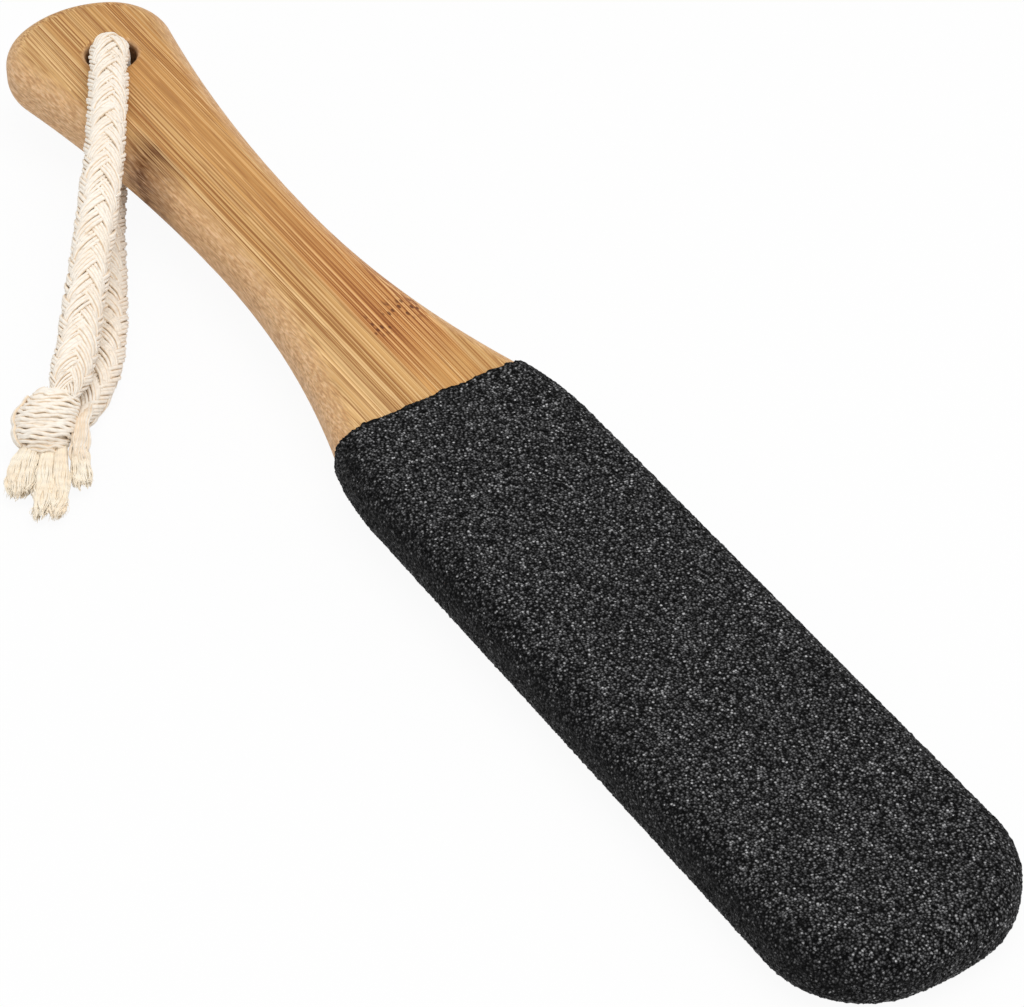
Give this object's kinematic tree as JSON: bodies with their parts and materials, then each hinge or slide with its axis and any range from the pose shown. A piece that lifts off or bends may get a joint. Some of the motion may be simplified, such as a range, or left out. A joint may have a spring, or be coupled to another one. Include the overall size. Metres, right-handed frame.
{
  "type": "foot file",
  "caption": "Bamboo paddle foot file with a grit-coated head for smoothing hard skin and a knotted cotton rope loop through the handle for hanging it up",
  "frame": {"origin": "middle of the paddle's bounding box, taken without the rope", "axes": "+X from the butt of the handle to the head, +Y across the paddle, +Z out of the coarse face"},
  "size_m": [0.28, 0.0877, 0.0258],
  "materials": {
    "bamboo_pale": "satin bamboo",
    "bamboo_warm": "satin bamboo",
    "coarse_grit": "coarse black grit set in resin",
    "fine_grit": "fine black grit set in resin",
    "cotton": "braided cotton"
  },
  "bodies": {
    "file": {"bamboo_strip_left_1": "bamboo_pale", "bamboo_strip_left_2": "bamboo_warm", "bamboo_strip_left_3_butt": "bamboo_pale", "bamboo_strip_left_3_head": "bamboo_pale", "bamboo_strip_left_4": "bamboo_warm", "bamboo_strip_right_1_butt": "bamboo_warm", "bamboo_strip_right_1_head": "bamboo_warm", "bamboo_strip_right_2": "bamboo_pale", "bamboo_strip_right_3_butt": "bamboo_warm", "bamboo_strip_right_3_head": "bamboo_warm", "bamboo_strip_right_4": "bamboo_pale", "coarse_grit_coat": "coarse_grit", "fine_grit_sheet": "fine_grit"},
    "hang_loop": {"hang_rope": "cotton", "rope_knot": "cotton", "rope_tail_left": "cotton", "rope_tail_right": "cotton"}
  },
  "joints": [
    {"name": "loop_swing", "type": "hinge", "parent": "file", "child": "hang_loop", "pos_m": [-0.1203, 0.0012, 0], "axis": [0, 0, 1], "range_deg": [-295, 0]}
  ]
}
